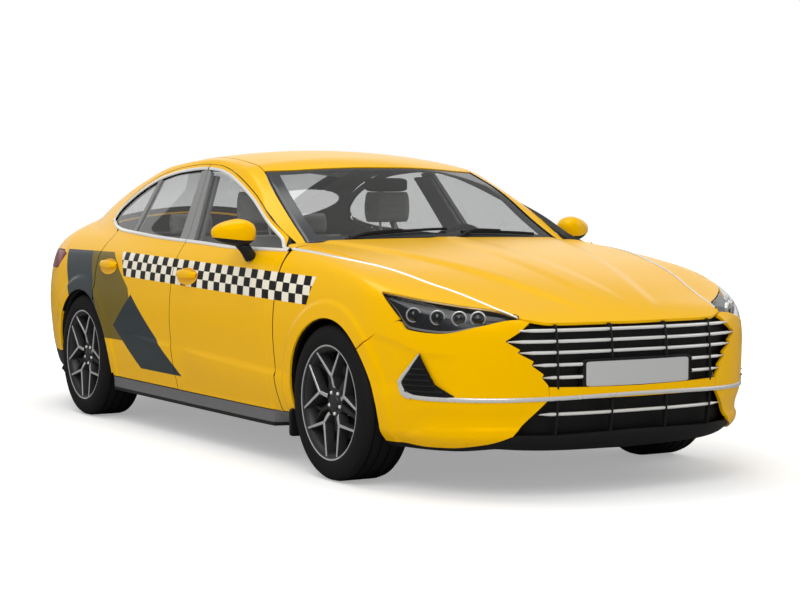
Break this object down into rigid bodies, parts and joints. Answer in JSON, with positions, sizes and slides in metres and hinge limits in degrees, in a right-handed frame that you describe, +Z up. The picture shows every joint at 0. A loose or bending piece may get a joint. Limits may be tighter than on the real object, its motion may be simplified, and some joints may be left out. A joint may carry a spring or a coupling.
{
  "type": "saloon car",
  "caption": "Mid-size saloon car in yellow taxi paint, with opening doors, hood and boot lid, a hollow cabin, steered front wheels and rolling wheels.",
  "frame": {"origin": "on the ground, under the middle of the car's box", "axes": "+X forward, +Y to the car's left, +Z up"},
  "size_m": [4.9, 2.19, 1.4451],
  "materials": {
    "body_paint": "gloss yellow paint",
    "window_glass": "clear tinted glass",
    "black_plastic": "matt black",
    "lamp_lens": "clear lens over a dark housing",
    "red_lens": "dark red lens",
    "underbody_steel": "matt coated steel",
    "cast_block": "cast",
    "seat_fabric": "grey woven cloth",
    "alloy": "machined faces, dark pockets",
    "tyre_rubber": "matt rubber"
  },
  "bodies": {
    "body": {"floor_tub": "underbody_steel", "body_side_right": "body_paint", "body_side_left": "body_paint", "roof_panel": "body_paint", "windscreen": "window_glass", "rear_window": "window_glass", "cowl_panel": "black_plastic", "fender_right": "body_paint", "fender_left": "body_paint", "front_bumper": "body_paint", "grille": "black_plastic", "headlamps": "lamp_lens", "tail_lamps": "red_lens", "rear_bumper": "body_paint", "arch_liners": "black_plastic", "front_frame": "underbody_steel", "rear_axle": "underbody_steel", "exhaust": "underbody_steel", "engine_block": "cast_block", "dashboard": "black_plastic", "front_seats": "seat_fabric", "rear_seat": "seat_fabric"},
    "front_door_right": {"door_front_right": "body_paint", "glass_front_right": "window_glass", "mirror_right": "body_paint"},
    "rear_door_right": {"door_rear_right": "body_paint", "glass_rear_right": "window_glass"},
    "steered_knuckle_right": {"knuckle_right": "underbody_steel"},
    "front_wheel_right": {"rim_front_right": "alloy", "tyre_front_right": "tyre_rubber"},
    "rear_wheel_right": {"rim_rear_right": "alloy", "tyre_rear_right": "tyre_rubber"},
    "front_door_left": {"door_front_left": "body_paint", "glass_front_left": "window_glass", "mirror_left": "body_paint"},
    "rear_door_left": {"door_rear_left": "body_paint", "glass_rear_left": "window_glass"},
    "steered_knuckle_left": {"knuckle_left": "underbody_steel"},
    "front_wheel_left": {"rim_front_left": "alloy", "tyre_front_left": "tyre_rubber"},
    "rear_wheel_left": {"rim_rear_left": "alloy", "tyre_rear_left": "tyre_rubber"},
    "engine_hood": {"hood": "body_paint"},
    "luggage_lid": {"boot_lid": "body_paint"},
    "steering": {"steering_wheel": "black_plastic"}
  },
  "joints": [
    {"name": "front_door_hinge_right", "type": "hinge", "parent": "body", "child": "front_door_right", "pos_m": [0.985, -0.93, 0.6], "axis": [0, 0, 1], "range_deg": [0, 65]},
    {"name": "rear_door_hinge_right", "type": "hinge", "parent": "body", "child": "rear_door_right", "pos_m": [-0.143, -0.932, 0.6], "axis": [0, 0, 1], "range_deg": [0, 65]},
    {"name": "steer_right", "type": "hinge", "parent": "body", "child": "steered_knuckle_right", "pos_m": [1.48, -0.735, 0.334], "axis": [0, 0, 1], "range_deg": [-35, 35]},
    {"name": "front_wheel_spin_right", "type": "hinge", "parent": "steered_knuckle_right", "child": "front_wheel_right", "pos_m": [1.48, -0.802, 0.334], "axis": [0, 1, 0], "continuous": true},
    {"name": "rear_wheel_spin_right", "type": "hinge", "parent": "body", "child": "rear_wheel_right", "pos_m": [-1.36, -0.802, 0.334], "axis": [0, 1, 0], "continuous": true},
    {"name": "front_door_hinge_left", "type": "hinge", "parent": "body", "child": "front_door_left", "pos_m": [0.985, 0.93, 0.6], "axis": [0, 0, -1], "range_deg": [0, 65]},
    {"name": "rear_door_hinge_left", "type": "hinge", "parent": "body", "child": "rear_door_left", "pos_m": [-0.143, 0.932, 0.6], "axis": [0, 0, -1], "range_deg": [0, 65]},
    {"name": "steer_left", "type": "hinge", "parent": "body", "child": "steered_knuckle_left", "pos_m": [1.48, 0.735, 0.334], "axis": [0, 0, 1], "range_deg": [-35, 35]},
    {"name": "front_wheel_spin_left", "type": "hinge", "parent": "steered_knuckle_left", "child": "front_wheel_left", "pos_m": [1.48, 0.802, 0.334], "axis": [0, 1, 0], "continuous": true},
    {"name": "rear_wheel_spin_left", "type": "hinge", "parent": "body", "child": "rear_wheel_left", "pos_m": [-1.36, 0.802, 0.334], "axis": [0, 1, 0], "continuous": true},
    {"name": "hood_hinge", "type": "hinge", "parent": "body", "child": "engine_hood", "pos_m": [0.925, 0, 1.008], "axis": [0, -1, 0], "range_deg": [0, 55]},
    {"name": "boot_lid_hinge", "type": "hinge", "parent": "body", "child": "luggage_lid", "pos_m": [-1.9, 0, 1.11], "axis": [0, 1, 0], "range_deg": [0, 80]},
    {"name": "steering_column_turn", "type": "hinge", "parent": "body", "child": "steering", "pos_m": [0.44, 0.37, 0.89], "axis": [-0.9063, 0, 0.4226], "range_deg": [-455, 455]}
  ],
  "couplings": [
    {"joint": "steer_right", "follows": "steer_left", "ratio": 1},
    {"joint": "steering_column_turn", "follows": "steer_left", "ratio": 13}
  ]
}
